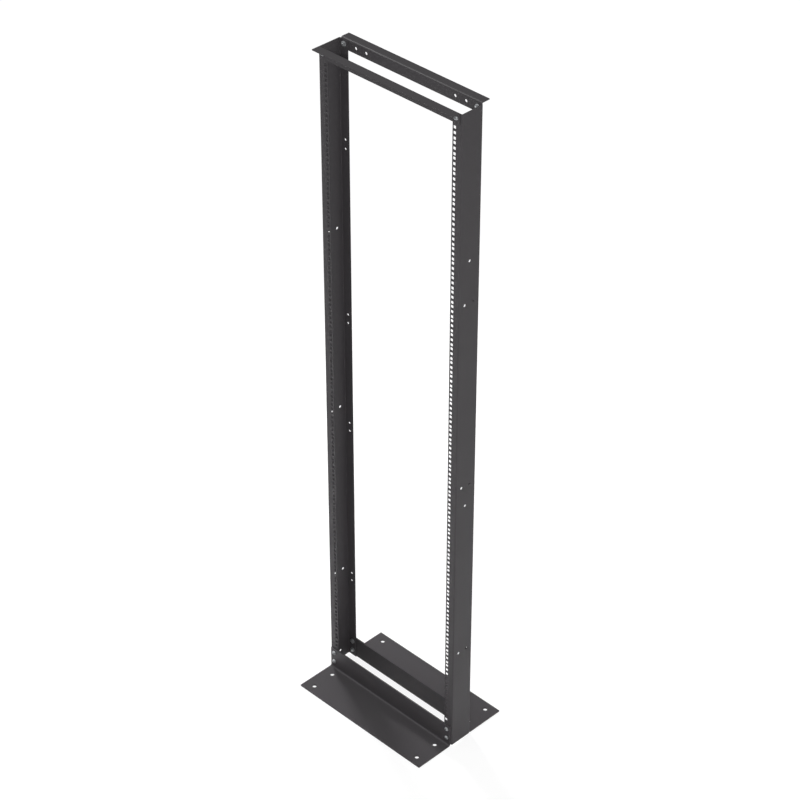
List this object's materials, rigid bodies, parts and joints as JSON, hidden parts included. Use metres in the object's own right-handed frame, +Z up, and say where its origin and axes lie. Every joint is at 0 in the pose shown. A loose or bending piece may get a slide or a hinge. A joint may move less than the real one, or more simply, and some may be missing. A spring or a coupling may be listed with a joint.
{
  "type": "two post open frame rack",
  "caption": "Open frame rack of folded steel posts with square equipment holes, joined by bolted base and top angles.",
  "frame": {"origin": "floor level, midway between the posts and midway between their front and rear faces", "axes": "+X to the right seen from the front, +Y to the rear, +Z up"},
  "size_m": [0.5156, 0.3442, 2.1286],
  "materials": {
    "powder_coat": "fine textured charcoal black powder coat",
    "zinc": "zinc plated flange bolts and flange nuts"
  },
  "bodies": {
    "root": {"left_upright": "powder_coat", "right_upright": "powder_coat", "front_base_angle": "powder_coat", "rear_base_angle": "powder_coat", "front_top_angle": "powder_coat", "rear_top_angle": "powder_coat"}
  },
  "joints": []
}
